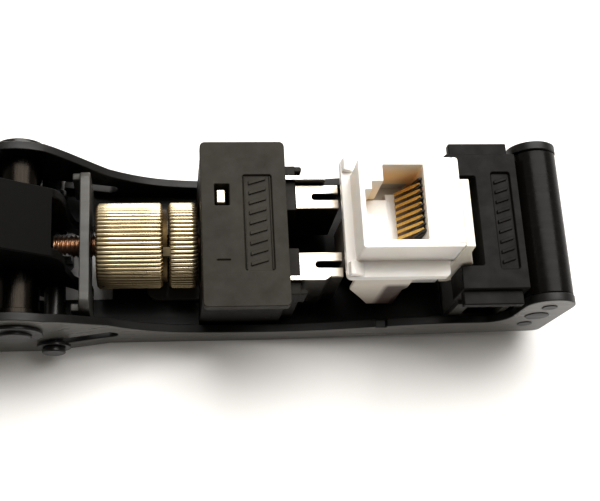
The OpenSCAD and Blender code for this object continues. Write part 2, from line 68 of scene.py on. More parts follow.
def make_camera():
    data = bpy.data.cameras.new("camera")
    data.sensor_width = 36
    data.lens = 64.4
    data.shift_x = 0.09
    data.clip_start = 0.01
    data.clip_end = 20
    camera = bpy.data.objects.new("camera", data)
    camera.location = (0.0490, -0.0564, 0.1748)
    camera.rotation_euler = [math.radians(a) for a in (18.76, -4.30, -2.12)]
    bpy.context.scene.collection.objects.link(camera)
    bpy.context.scene.camera = camera


def make_light(name, place, target, size, power, colour):
    data = bpy.data.lights.new(name, "AREA")
    data.shape = "RECTANGLE"
    data.size, data.size_y = size
    data.energy = power
    data.color = colour
    light = bpy.data.objects.new(name, data)
    light.location = place
    light.rotation_euler = (Vector(target) - Vector(place)).to_track_quat("-Z", "Y").to_euler()
    bpy.context.scene.collection.objects.link(light)


def make_floor():
    mesh = bpy.data.meshes.new("floor")
    half = 6.0
    corners = [(-half, -half, 0), (half, -half, 0), (half, half, 0), (-half, half, 0)]
    mesh.from_pydata(corners, [], [(0, 1, 2, 3)])
    floor = bpy.data.objects.new("floor", mesh)
    bpy.context.scene.collection.objects.link(floor)
    paper = bpy.data.materials.new("paper")
    paper.use_nodes = True
    tree = paper.node_tree
    shader = tree.nodes["Principled BSDF"]
    shader.inputs["Roughness"].default_value = 0.9
    shader.inputs["Specular IOR Level"].default_value = 0.1
    noise = tree.nodes.new("ShaderNodeTexNoise")
    noise.inputs["Scale"].default_value = 3.0
    ramp = tree.nodes.new("ShaderNodeValToRGB")
    ramp.color_ramp.elements[0].color = (0.89, 0.885, 0.88, 1)
    ramp.color_ramp.elements[1].color = (0.92, 0.915, 0.91, 1)
    where = tree.nodes.new("ShaderNodeTexCoord")
    tree.links.new(where.outputs["Object"], noise.inputs["Vector"])
    tree.links.new(noise.outputs["Fac"], ramp.inputs["Fac"])
    tree.links.new(ramp.outputs["Color"], shader.inputs["Base Color"])
    mesh.materials.append(paper)


def make_world():
    """The room is bright round the back, darker overhead and darkest behind the camera."""
    world = bpy.data.worlds.new("studio")
    world.use_nodes = True
    sky = world.node_tree
    background = sky.nodes["Background"]
    background.inputs["Color"].default_value = (1.0, 0.95, 0.875, 1)
    ways = sky.nodes.new("ShaderNodeTexCoord")
    split = sky.nodes.new("ShaderNodeSeparateXYZ")
    sky.links.new(ways.outputs["Generated"], split.inputs["Vector"])
    parts = []
    for axis, numbers in (("Z", (0.15, 0.85, 0.80, 0.34)), ("Y", (-0.75, 0.25, 0.30, 1.0))):
        fade = sky.nodes.new("ShaderNodeMapRange")
        for key, number in zip(("From Min", "From Max", "To Min", "To Max"), numbers):
            fade.inputs[key].default_value = number
        sky.links.new(split.outputs[axis], fade.inputs["Value"])
        parts.append(fade.outputs["Result"])
    both = sky.nodes.new("ShaderNodeMath")
    both.operation = "MULTIPLY"
    sky.links.new(parts[0], both.inputs[0])
    sky.links.new(parts[1], both.inputs[1])
    sky.links.new(both.outputs[0], background.inputs["Strength"])
    bpy.context.scene.world = world


def set_view():
    view = bpy.context.scene.view_settings
    view.view_transform = "Standard"
    view.gamma = 0.88


# ---------- materials ----------


class Finish:
    """A Principled material; its colour, roughness and bump are procedural, in the piece's own space."""

    def __init__(self, name, metallic=0.0):
        self.material = bpy.data.materials.new(name)
        self.material.use_nodes = True
        self.tree = self.material.node_tree
        self.shader = self.tree.nodes["Principled BSDF"]
        self.shader.inputs["Metallic"].default_value = metallic
        self.where = self.add("ShaderNodeTexCoord").outputs["Object"]
        self.height = None

    @classmethod
    def of(cls, material):
        """Opens a finished material again."""
        f = cls.__new__(cls)
        f.material, f.tree, f.height = material, material.node_tree, None
        f.shader = f.tree.nodes["Principled BSDF"]
        f.where = next(n for n in f.tree.nodes if n.type == "TEX_COORD").outputs["Object"]
        return f

    def add(self, kind, **values):
        node = self.tree.nodes.new(kind)
        for key, value in values.items():
            setattr(node, key, value)
        return node

    def link(self, a, b):
        self.tree.links.new(a, b)

    def put(self, socket, value):
        """Links a socket or sets a plain value."""
        if isinstance(value, bpy.types.NodeSocket):
            self.link(value, socket)
        else:
            socket.default_value = value

    def math(self, operation, a, b=0.0):
        node = self.add("ShaderNodeMath", operation=operation)
        self.put(node.inputs[0], a)
        self.put(node.inputs[1], b)
        return node.outputs[0]

    def stretched(self, scale):
        node = self.add("ShaderNodeMapping")
        node.inputs["Scale"].default_value = scale
        self.link(self.where, node.inputs["Vector"])
        return node.outputs["Vector"]

    def noise(self, scale, detail=3.0, rough=0.5, vector=None):
        node = self.add("ShaderNodeTexNoise")
        node.inputs["Scale"].default_value = scale
        node.inputs["Detail"].default_value = detail
        node.inputs["Roughness"].default_value = rough
        self.link(vector or self.where, node.inputs["Vector"])
        return node.outputs["Fac"]

    def spots(self, scale):
        node = self.add("ShaderNodeTexVoronoi")
        node.inputs["Scale"].default_value = scale
        self.link(self.where, node.inputs["Vector"])
        return node.outputs["Distance"]

    def span(self, value, from_low, from_high, low, high):
        """Maps a value from one range to another, held at the ends."""
        node = self.add("ShaderNodeMapRange")
        self.link(value, node.inputs["Value"])
        ends = {"From Min": from_low, "From Max": from_high, "To Min": low, "To Max": high}
        for key, number in ends.items():
            node.inputs[key].default_value = number
        return node.outputs["Result"]

    def mix(self, share, a, b):
        """Colour a where share is 0, colour b where it is 1."""
        node = self.add("ShaderNodeMix", data_type="RGBA")
        self.put(node.inputs["Factor"], share)
        for key, colour in (("A", a), ("B", b)):
            socket = next(s for s in node.inputs if s.name == key and s.type == "RGBA")
            self.put(socket, colour if isinstance(colour, bpy.types.NodeSocket) else (*colour, 1))
        return next(s for s in node.outputs if s.type == "RGBA")

    def axis(self, name):
        node = self.add("ShaderNodeSeparateXYZ")
        self.link(self.where, node.inputs["Vector"])
        return node.outputs[name]

    def edges(self, radius):
        """1 near an outer edge or in a corner within radius, 0 on open faces."""
        bevel = self.add("ShaderNodeBevel", samples=6)
        bevel.inputs["Radius"].default_value = radius
        true = self.add("ShaderNodeNewGeometry")
        dot = self.add("ShaderNodeVectorMath", operation="DOT_PRODUCT")
        self.link(bevel.outputs["Normal"], dot.inputs[0])
        self.link(true.outputs["Normal"], dot.inputs[1])
        return self.span(dot.outputs["Value"], 0.72, 0.97, 1.0, 0.0)

    def colour(self, value):
        self.put(self.shader.inputs["Base Color"], value)

    def rough(self, value):
        self.put(self.shader.inputs["Roughness"], value)

    def bump(self, height, distance, strength=1.0):
        node = self.add("ShaderNodeBump")
        node.inputs["Strength"].default_value = strength
        node.inputs["Distance"].default_value = distance
        self.link(height, node.inputs["Height"])
        if self.height:
            self.link(self.height, node.inputs["Normal"])
        self.height = node.outputs["Normal"]
        self.link(self.height, self.shader.inputs["Normal"])


def moulded_plastic(name, colour, rough, specular, top=None):
    """Grained plastic; with a top height given, its sides below the top get painted shade."""
    f = Finish(name)
    broad = f.span(f.noise(90, 4, 0.6), 0.35, 0.65, 0.0, 1.0)
    dust = f.span(f.noise(2600, 2, 0.7), 0.62, 0.75, 0.0, 0.35)
    dark = [c * 0.86 for c in colour]
    light = [min(1, c * 1.14) for c in colour]
    worn_colour = [min(1, c * 1.5 + 0.004) for c in colour]
    body = f.mix(broad, dark, light)
    patchy = f.span(f.noise(700, 3), 0.4, 0.6, 0.15, 0.8)
    body = f.mix(f.math("MULTIPLY", f.edges(0.00022), patchy), body, worn_colour)
    body = f.mix(f.math("MULTIPLY", dust, 0.5), body, [min(1, c * 1.5) for c in colour])
    if top:
        # painted shade: the sides below the top are darkened almost to black
        side = f.span(f.axis("Z"), top - 0.0045, top - 0.0019, 0.8, 0.0)
        body = f.mix(side, body, [c * 0.12 for c in colour])
    f.colour(body)
    f.rough(f.span(f.noise(420, 4, 0.6), 0.3, 0.7, rough - 0.07, rough + 0.09))
    f.shader.inputs["Specular IOR Level"].default_value = specular
    f.bump(f.noise(9000, 2, 0.6), 0.000012)
    f.bump(f.noise(500, 3, 0.5), 0.00003, 0.35)
    return f.material


def coated_steel(name, colour, rough, worn, specular, wear=0.5):
    """Black coated sheet or bar: orange peel, fine rubbed streaks and paler edges."""
    f = Finish(name)
    streaks = f.noise(900, 3, 0.6, f.stretched((0.06, 1, 1)))
    broad = f.span(f.noise(60, 4, 0.6), 0.35, 0.65, 0.0, 1.0)
    body = f.mix(broad, [c * 0.8 for c in colour], [c * 1.25 for c in colour])
    patchy = f.span(f.noise(140, 3), 0.45, 0.65, 0.0, 1.0)
    rubbed = f.math("MULTIPLY", f.span(streaks, 0.6, 0.78, 0.0, 0.3), patchy)
    body = f.mix(rubbed, body, [c * 2.0 + 0.008 for c in colour])
    edge = f.math("MULTIPLY", f.edges(0.0002), f.span(f.noise(650, 4, 0.6), 0.42, 0.62, 0.05, 1.0))
    edge = f.math("MULTIPLY", edge, wear)
    f.colour(f.mix(edge, body, worn))
    brushed = f.span(streaks, 0.3, 0.7, rough - 0.05, rough + 0.07)
    f.rough(f.math("ADD", brushed, f.math("MULTIPLY", edge, -0.08)))
    f.shader.inputs["Specular IOR Level"].default_value = specular
    f.bump(f.noise(1400, 2, 0.5), 0.000012, 0.7)
    f.bump(f.spots(5200), 0.000004, 0.5)
    return f.material


def plate_coat(name):
    """The coat of the side plates: their outer faces are polished and painted lighter as a painted
    reflection of the floor, their inner faces and edges are dull.
    """
    material = coated_steel(name, (0.0030, 0.0028, 0.0025), 0.30, (0.02, 0.0185, 0.0165), 0.28)
    f = Finish.of(material)
    facing = f.add("ShaderNodeSeparateXYZ")
    f.link(f.add("ShaderNodeTexCoord").outputs["Normal"], facing.inputs["Vector"])
    inside = f.span(f.math("MULTIPLY", facing.outputs["Y"], f.axis("Y")), 0.006, 0.010, 1.0, 0.0)
    black = f.shader.inputs["Base Color"].links[0].from_socket
    polish = f.shader.inputs["Roughness"].links[0].from_socket
    # painted reflection: the outer faces get a lighter grey, where they would mirror the floor
    outside = f.math("MULTIPLY", f.math("SUBTRACT", 1.0, inside), 0.7)
    f.colour(f.mix(outside, black, (0.125, 0.119, 0.106)))
    f.rough(f.math("ADD", polish, f.math("MULTIPLY", inside, 0.12)))
    return material


def bare_metal(name, colour, rough, along=(0.05, 1, 1), streak=0.12, stained=0.25, top=None):
    """Ground or turned metal with streaks and pits; with a top height given, only its top stays bright and
    its sides below it get painted shade.
    """
    f = Finish(name, metallic=1.0)
    streaks = f.noise(3200, 4, 0.65, f.stretched(along))
    fine = f.noise(9000, 2, 0.6, f.stretched(along))
    cloud = f.span(f.noise(170, 4, 0.6), 0.45, 0.72, 0.0, 1.0)
    dark = [c * (1 - streak) for c in colour]
    light = [min(1, c * (1 + streak * 0.6)) for c in colour]
    body = f.mix(f.span(streaks, 0.3, 0.7, 0, 1), dark, light)
    brown = [a * b for a, b in zip(colour, (0.5, 0.42, 0.3))]
    body = f.mix(f.math("MULTIPLY", cloud, stained), body, brown)
    pit = f.span(f.noise(2400, 2, 0.5), 0.66, 0.75, 0.0, 0.3)
    body = f.mix(pit, body, [c * 0.35 for c in colour])
    if top:
        # painted shade: the sides below the top are darkened to a brown black
        side = f.span(f.axis("Z"), top - 0.0006, top - 0.0001, 0.93, 0.0)
        body = f.mix(side, body, (0.035, 0.028, 0.022))
    f.colour(body)
    f.rough(f.span(fine, 0.3, 0.7, rough - 0.06, rough + 0.1))
    f.bump(fine, 0.000006, 0.8)
    f.bump(streaks, 0.00001, 0.5)
    return f.material


def knurled_metal(name, colour, groove, middle_z, outer, deep):
    """Pale brass, bright on its ridges and brown in the grooves, by the distance from the turned axis; with
    painted shade in the neck and on its front side.
    """
    f = Finish(name, metallic=1.0)
    high = f.math("SUBTRACT", f.axis("Z"), middle_z)
    radius = f.math("SQRT", f.math("ADD", f.math("POWER", f.axis("Y"), 2.0), f.math("POWER", high, 2.0)))
    ridge = f.span(radius, outer - deep, outer, 0.0, 1.0)
    stains = f.span(f.noise(260, 4, 0.65), 0.4, 0.68, 0.0, 0.5)
    grain = f.noise(5200, 3, 0.6)
    bright = f.mix(stains, [min(1, c * 1.08) for c in colour], [c * 0.8 for c in colour])
    body = f.mix(ridge, groove, bright)
    # painted shade: the neck between the knurl and the collar is nearly black
    neck = f.span(radius, outer - 0.0009, outer - 0.0005, 0.92, 0.0)
    body = f.mix(neck, body, [c * 0.2 for c in groove])
    # painted shade: the side towards the front is darkened to a dark brown
    front = f.span(f.axis("Y"), -0.0066, -0.0026, 0.85, 0.0)
    body = f.mix(front, body, (0.15, 0.105, 0.05))
    f.colour(f.mix(f.span(grain, 0.58, 0.75, 0.0, 0.3), body, groove))
    f.rough(f.math("ADD", f.span(ridge, 0, 1, 0.16, 0.0), f.span(f.noise(900, 3), 0.3, 0.7, 0.24, 0.40)))
    f.bump(grain, 0.00001, 0.7)
    f.bump(f.noise(1300, 3, 0.6), 0.00002, 0.6)
    return f.material


def rubber_grip(name, colour):
    f = Finish(name)
    cloud = f.span(f.noise(120, 4, 0.6), 0.35, 0.65, 0, 1)
    f.colour(f.mix(cloud, [c * 0.8 for c in colour], [c * 1.3 for c in colour]))
    f.rough(f.span(f.noise(600, 3), 0.3, 0.7, 0.62, 0.82))
    f.shader.inputs["Specular IOR Level"].default_value = 0.4
    f.bump(f.spots(2200), 0.00005, 0.5)
    f.bump(f.noise(7000, 2, 0.6), 0.000015, 0.6)
    return f.material


def jack_plastic(name, colour, warm, rough=0.34, mouth=False, fades=False):
    """White moulded plastic with a faint warm cloud, which lets a little light through."""
    f = Finish(name)
    cloud = f.span(f.noise(150, 4, 0.6), 0.4, 0.7, 0, 0.6)
    body = f.mix(cloud, colour, warm)
    x, y, z = (f.axis(a) for a in "XYZ")
    if mouth:
        # the plug opening is amber towards its far wall and its depth
        low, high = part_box("jack_housing")
        middle = (low.x + high.x) / 2
        offset = f.math("ABSOLUTE", f.math("SUBTRACT", x, middle - 0.0005))
        across = f.span(offset, 0.0062, 0.0064, 1.0, 0.0)
        side = f.span(f.math("ABSOLUTE", y), 0.00592, 0.00600, 1.0, 0.0)
        deep = f.span(z, high.z - 0.0040, high.z - 0.0003, 1.0, 0.0)
        far = f.span(y, -0.0035, 0.0059, 0.0, 1.0)
        amber = f.math("MULTIPLY", f.math("MULTIPLY", across, side), f.math("MULTIPLY", deep, far))
        body = f.mix(f.math("MULTIPLY", amber, 0.85), body, (0.95, 0.68, 0.33))
    if fades:
        # the wiring block is shaded towards the table, most of all at the side of the fixed die
        low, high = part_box("jack_wiring_block")
        body = f.mix(f.span(z, low.z, high.z - 0.003, 0.8, 0.0), body, (0.10, 0.055, 0.035))
        beside = f.span(x, high.x - 0.0042, high.x - 0.0032, 0.0, 0.92)
        below = f.span(z, high.z - 0.0040, high.z - 0.0022, 1.0, 0.0)
        foot = f.math("MULTIPLY", beside, below)
        body = f.mix(foot, body, (0.035, 0.014, 0.008))
    f.colour(body)
    f.rough(f.span(f.noise(500, 3), 0.3, 0.7, rough - 0.05, rough + 0.08))
    f.shader.inputs["Subsurface Weight"].default_value = 0.25
    f.shader.inputs["Subsurface Radius"].default_value = (1.0, 0.75, 0.5)
    f.shader.inputs["Subsurface Scale"].default_value = 0.0022 if mouth else 0.0012
    f.bump(f.noise(5200, 2, 0.5), 0.000006, 0.6)
    f.bump(f.noise(380, 2, 0.5), 0.00003, 0.3)
    return f.material


def comb_plastic(name):
    """Plastic behind the contact wires, with painted shade and reflection: amber-brown that runs into black
    at their roots.
    """
    f = Finish(name)
    low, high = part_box("jack_contacts")
    share = f.span(f.axis("X"), low.x, high.x - 0.0008, 0.0, 1.0)
    grain = f.span(f.noise(900, 3), 0.3, 0.7, 0.8, 1.2)
    # painted shade: amber-brown towards the opening, black at the wires' roots
    body = f.mix(share, (0.20, 0.095, 0.03), (0.008, 0.005, 0.003))
    f.colour(f.mix(f.math("MULTIPLY", grain, 0.12), body, (0.02, 0.012, 0.006)))
    f.rough(f.span(f.noise(500, 3), 0.3, 0.7, 0.36, 0.52))
    f.bump(f.noise(5200, 2, 0.5), 0.00001, 0.6)
    return f.material


barrel_low, barrel_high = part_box("adjuster_barrel")
BARREL_Z = (barrel_low.z + barrel_high.z) / 2
BARREL_R = (barrel_high.z - barrel_low.z) / 2
KNURL_DEEP = 0.00030

PLATE = coated_steel(
    "frame_black_coat", (0.0025, 0.0024, 0.0021), 0.34, worn=(0.05, 0.047, 0.043), specular=0.15
)
SIDE = plate_coat("plate_black_coat")
LEVER = coated_steel(
    "lever_black_coat", (0.0022, 0.0021, 0.0019), 0.46, worn=(0.05, 0.048, 0.044), specular=0.08
)
NOSE = coated_steel(
    "nose_black_bar", (0.0040, 0.0035, 0.0030), 0.24, worn=(0.04, 0.036, 0.032), wear=0.25, specular=0.10
)
DARK_STEEL = coated_steel(
    "oxide_black_steel", (0.007, 0.0067, 0.0062), 0.30, worn=(0.12, 0.117, 0.11), wear=0.7, specular=0.4
)
CRADLE = coated_steel(
    "cradle_steel", (0.045, 0.042, 0.036), 0.42, worn=(0.20, 0.19, 0.175), wear=0.8, specular=0.3
)
MOVING_PLASTIC = moulded_plastic(
    "moving_die_nylon", (0.0285, 0.0250, 0.0195), 0.55, specular=0.15, top=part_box("moving_die")[1].z
)
FIXED_PLASTIC = moulded_plastic("fixed_die_nylon", (0.0062, 0.0055, 0.0047), 0.48, specular=0.10)
STEEL = bare_metal("turned_steel", (0.014, 0.012, 0.010), 0.22, along=(1, 0.06, 1))
BLADE = bare_metal("blade_steel", (0.66, 0.61, 0.53), 0.34, stained=0.35, top=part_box("punch_blades")[1].z)
CUTTER = bare_metal(
    "cutter_steel", (0.72, 0.68, 0.60), 0.32, stained=0.3, top=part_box("cutting_blades")[1].z
)
RETAINER = bare_metal("retainer_tab_steel", (0.70, 0.64, 0.52), 0.38, stained=0.3)
GUIDE = coated_steel(
    "guide_plate_coat", (0.045, 0.043, 0.038), 0.40, worn=(0.24, 0.235, 0.22), wear=0.9, specular=0.4
)
STUD = bare_metal("copper_stud", (0.42, 0.275, 0.185), 0.32, along=(1, 1, 1), stained=0.6)
BRASS = knurled_metal(
    "pale_brass_knurl", (0.86, 0.76, 0.53), (0.20, 0.135, 0.058), BARREL_Z, BARREL_R, KNURL_DEEP
)
RUBBER = rubber_grip("grip_rubber_black", (0.012, 0.012, 0.0125))
WHITE = jack_plastic("jack_white_gloss", (0.84, 0.82, 0.79), (0.80, 0.76, 0.71))
HOUSING = jack_plastic("jack_white_housing", (0.84, 0.82, 0.79), (0.80, 0.76, 0.71), mouth=True)
# the latch is the same white plastic as the housing, darkened as painted shade so it stands apart from the
# face
LATCH = jack_plastic("jack_white_latch_painted_shade", (0.72, 0.68, 0.60), (0.68, 0.62, 0.52))
CREAM = jack_plastic("jack_cream_matt", (0.66, 0.61, 0.54), (0.56, 0.48, 0.38), 0.42, fades=True)
GOLD = bare_metal("contact_gold_wire", (0.90, 0.66, 0.26), 0.22, along=(1, 1, 1), streak=0.2, stained=0.2)
TIN = bare_metal("contact_tin_plate", (0.72, 0.70, 0.66), 0.3, along=(1, 1, 0.05))
COMB = comb_plastic("contact_comb_plastic")

# the material of each CAD node and the width in millimetres of its rounded edges
FINISHES = {
    "side_plate_front": (SIDE, 0.18),
    "side_plate_back": (SIDE, 0.18),
    "base_plate": (PLATE, 0.12),
    "nose_block": (NOSE, 0.25),
    "nose_rivets": (PLATE, 0.08),
    "die_cradle": (CRADLE, 0.12),
    "fixed_die": (FIXED_PLASTIC, 0.2),
    "fixed_die_screws": (STEEL, 0.1),
    "pivot_pin": (DARK_STEEL, 0.2),
    "pivot_washer": (DARK_STEEL, 0.12),
    "pivot_clip": (DARK_STEEL, 0.1),
    "pivot_spacers": (STEEL, 0.1),
    "fixed_handle": (PLATE, 0.2),
    "handle_rivets": (DARK_STEEL, 0.2),
    "moving_handle": (LEVER, 0.25),
    "cross_pin": (DARK_STEEL, 0.2),
    "cross_pin_clips": (DARK_STEEL, 0.08),
    "guide_plate": (GUIDE, 0.2),
    "die_carriage": (CRADLE, 0.2),
    "moving_die": (MOVING_PLASTIC, 0.15),
    "die_retainer": (RETAINER, 0.25),
    "punch_blades": (BLADE, 0.12),
    "cutting_blades": (CUTTER, 0.06),
    "jack_housing": (HOUSING, 0.15),
    "jack_latch": (LATCH, 0.15),
    "jack_contacts": (GOLD, 0.04),
    "jack_wiring_block": (CREAM, 0.15),
    "jack_wiring_contacts": (TIN, 0.05),
}


def soften(obj, width):
    """Rounds the sharp edges of a CAD node with modifiers, so its own mesh stays as packed."""
    mesh = obj.data
    stored = mesh.attributes.get("custom_normal")
    if stored:
        mesh.attributes.remove(stored)
    mesh.shade_smooth()
    weld = obj.modifiers.new("weld", "WELD")
    weld.merge_threshold = 1e-6
    flat = obj.modifiers.new("flat", "DECIMATE")
    flat.decimate_type = "DISSOLVE"
    flat.angle_limit = math.radians(0.5)
    if width:
        bevel = obj.modifiers.new("rounded", "BEVEL")
        bevel.width = width * MM
        bevel.segments = 3
        bevel.limit_method = "ANGLE"
        bevel.angle_limit = math.radians(35)
        bevel.use_clamp_overlap = False
        bevel.miter_outer = "MITER_ARC"
    normals = obj.modifiers.new("normals", "WEIGHTED_NORMAL")
    normals.keep_sharp = False
    normals.weight = 70


def paint_nodes():
    for name, (material, width) in FINISHES.items():
        obj = nodes[name]
        obj.data.materials.clear()
        obj.data.materials.append(material)
        soften(obj, width)


# ---------- built pieces ----------


def piece(name, points, faces, body, material, slot, sharp=38):
    """A mesh from millimetre points that start at the pivot; it rides on a body and has one material.

    Edges that are sharper than the angle in degrees stay sharp.
    """
    mesh = bpy.data.meshes.new(name)
    mesh.from_pydata([at(*p) for p in points], [], faces)
    work = bmesh.new()
    work.from_mesh(mesh)
    bmesh.ops.recalc_face_normals(work, faces=work.faces)
    work.to_mesh(mesh)
    work.free()
    mesh.materials.append(material)
    mesh.shade_smooth()
    mesh.set_sharp_from_angle(angle=math.radians(sharp))
    obj = bpy.data.objects.new(name, mesh)
    bpy.context.scene.collection.objects.link(obj)
    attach(obj, body)
    return obj


def loft(rings, wrap=False):
    """Points and faces of a skin over closed rings of equal count; its ends are capped unless it wraps."""
    count = len(rings[0])
    points = [p for ring in rings for p in ring]
    faces = []
    for i in range(len(rings) if wrap else len(rings) - 1):
        a, b = i * count, (i + 1) % len(rings) * count
        for j in range(count):
            k = (j + 1) % count
            faces.append((a + j, a + k, b + k, b + j))
    if not wrap:
        last = (len(rings) - 1) * count
        faces.append(tuple(range(count)))
        faces.append(tuple(range(last + count - 1, last - 1, -1)))
    return points, faces


def joined(*parts):
    """Several point and face lists as one."""
    points, faces = [], []
    for more_points, more_faces in parts:
        start = len(points)
        points += more_points
        faces += [tuple(start + i for i in face) for face in more_faces]
    return points, faces


def bar(outline, y0, y1):
    """An X-Z outline carried along Y."""
    return loft([[(x, y, z) for x, z in outline] for y in (y0, y1)])


def slab(outline, z0, z1):
    """An X-Y outline carried up along Z."""
    return loft([[(x, y, z) for x, y in outline] for z in (z0, z1)])


def brick(x0, x1, y0, y1, z0, z1):
    return slab([(x0, y0), (x1, y0), (x1, y1), (x0, y1)], z0, z1)


def round_edges(obj, width, segments=2):
    """Rounds the edges of a built piece by a width in millimetres."""
    bevel = obj.modifiers.new("rounded", "BEVEL")
    bevel.width = width * MM
    bevel.segments = segments
    bevel.limit_method = "ANGLE"
    bevel.angle_limit = math.radians(35)


AXIS_Z = (low_high("adjuster_barrel")[0].z + low_high("adjuster_barrel")[1].z) / 2
STUD_R = 1.85
STUD_BORE = 2.05
RIDGES = 60
PER_RIDGE = 8


def round_axis(x, radius, angle):
    """A point round the ram axis."""
    return (x, radius * math.sin(angle), AXIS_Z + radius * math.cos(angle))


def turned(x, radius, groove):
    """A ring round the ram axis; groove is how deep the straight knurl cuts in."""
    ring = []
    for i in range(RIDGES * PER_RIDGE):
        angle = 2 * math.pi * i / (RIDGES * PER_RIDGE)
        wave = (0.5 + 0.5 * math.cos(RIDGES * angle)) ** 2.2
        ring.append(round_axis(x, radius - groove * wave, angle))
    return ring


def knurled_sleeve(x0, x1, radius, neck=None):
    """Rings from the bore round the chamfered outside and back; neck is (end, radius) of a collar."""
    chamfer, depth, bore = 0.4, 0.34, STUD_BORE
    stations = [(x0, bore, 0), (x0, radius - chamfer, 0.1), (x0 + chamfer, radius, depth)]
    stations += [(x0 + (x1 - x0) * t, radius, depth) for t in (0.25, 0.5, 0.75)]
    stations += [(x1 - chamfer, radius, depth), (x1, radius - chamfer, 0.1)]
    if neck:
        stations += [(x1, neck[1], 0), (neck[0], neck[1], 0), (neck[0], bore, 0)]
    else:
        stations += [(x1, bore, 0)]
    return loft([turned(*s) for s in stations], wrap=True)


def build_adjuster():
    low, high = low_high("adjuster_barrel")
    ring_low, ring_high = low_high("lock_ring")
    radius = (high.z - low.z) / 2
    collar = 0.7
    end = high.x - collar
    barrel = piece(
        "adjuster_barrel_knurl",
        *knurled_sleeve(low.x, end, radius, neck=(high.x, radius - 1)),
        "adjuster",
        BRASS,
        "knurled_brass",
        sharp=60,
    )
    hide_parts("adjuster_barrel")
    # the ring carries a short key that fills the gap beside the barrel's collar
    turns = [math.radians(a) for a in (-33, -29, -25, -21)]
    sector = [(radius - 0.22, a) for a in turns] + [(radius - 1.2, a) for a in reversed(turns)]
    key = [[round_axis(x, r, a) for r, a in sector] for x in (end + 0.05, ring_low.x + 0.25)]
    ring = piece(
        "lock_ring_knurl",
        *joined(knurled_sleeve(ring_low.x, ring_high.x, radius), loft(key)),
        "ring",
        BRASS,
        "knurled_brass",
        sharp=60,
    )
    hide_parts("lock_ring")


def build_stud():
    """Threaded rod whose eye hangs below it on the cross pin."""
    low, high = low_high("drive_stud")
    pin_low, pin_high = low_high("cross_pin")
    pin_x, pin_z = (pin_low.x + pin_high.x) / 2, (pin_low.z + pin_high.z) / 2
    pin_r = (pin_high.x - pin_low.x) / 2
    pitch, depth = 0.7, 0.36
    steps, sides = 8, 32
    rings = []
    start = pin_x + 0.2
    count = int((high.x - start) / pitch * steps)
    for i in range(count + 1):
        x = start + (high.x - start) * i / count
        ring = []
        for j in range(sides):
            turn = (x / pitch - j / sides) % 1
            r = STUD_R - depth * min(1.0, abs(2 * turn - 1) * 1.25)
            ring.append(round_axis(x, r, 2 * math.pi * j / sides))
        rings.append(ring)
    eye_y, chamfer = 1.9, 0.3
    eye_r = pin_z - low.z
    outline = [(pin_r, -eye_y), (eye_r - chamfer, -eye_y), (eye_r, -eye_y + chamfer)]
    outline += [(eye_r, eye_y - chamfer), (eye_r - chamfer, eye_y), (pin_r, eye_y)]
    angles = [2 * math.pi * k / 48 for k in range(48)]
    loops = [[(pin_x + r * math.cos(a), y, pin_z + r * math.sin(a)) for a in angles] for r, y in outline]
    neck = brick(pin_x + 0.4, pin_x + 2.9, -eye_y + 0.1, eye_y - 0.1, pin_z + pin_r + 0.1, AXIS_Z + 0.6)
    stud = piece("drive_stud_thread", *loft(rings), "ram", STUD, "stud_copper", sharp=50)
    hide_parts("drive_stud")
    piece("drive_stud_eye", *joined(loft(loops, wrap=True), neck), "ram", DARK_STEEL, "dark_steel", sharp=50)


def build_spring():
    """Torsion spring of round wire wound on the pivot."""
    low, high = low_high("return_spring")
    wire, snug = 0.5, 0.98
    coil = (high.x - low.x) / 2 - wire
    middle_z = (low.z + high.z) / 2
    length = high.y - low.y - 2 * wire
    turns, per_turn, sides = 4, 36, 12
    rings = []
    for i in range(turns * per_turn + 1):
        angle = 2 * math.pi * i / per_turn
        y = low.y + wire + length * i / (turns * per_turn)
        ring = []
        for j in range(sides):
            b = 2 * math.pi * j / sides
            r = coil + wire * math.cos(b) * snug
            across = wire * math.sin(b) * snug
            ring.append((r * math.cos(angle), y + across, middle_z + r * math.sin(angle)))
        rings.append(ring)
    spring = piece("return_spring_wire", *loft(rings), "frame", STEEL, "steel", sharp=60)
    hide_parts("return_spring")


def rounded_loop(y0, y1, z0, z1, r, corner=6):
    """A rounded rectangle as points in turn."""
    loop = []
    centres = ((y1 - r, z1 - r, 0), (y0 + r, z1 - r, 90), (y0 + r, z0 + r, 180), (y1 - r, z0 + r, 270))
    for cy, cz, start in centres:
        for k in range(corner + 1):
            a = math.radians(start + 90 * k / corner)
            loop.append((cy + r * math.cos(a), cz + r * math.sin(a)))
    return loop


def rib_depth(t, length):
    """How far a grip's skin lies below its full size, at t along its length."""
    first, plain_end, pitch, groove_depth = 9, 16, 5.0, 0.85
    ends = 0.9 * math.exp(-((min(t, length - t)) / 2.2) ** 2)
    if first < t < length - plain_end:
        groove = (0.5 - 0.5 * math.cos(2 * math.pi * (t - first) / pitch)) ** 4
        return ends + groove_depth * groove
    return ends


GRIP_CORNER = 2.6


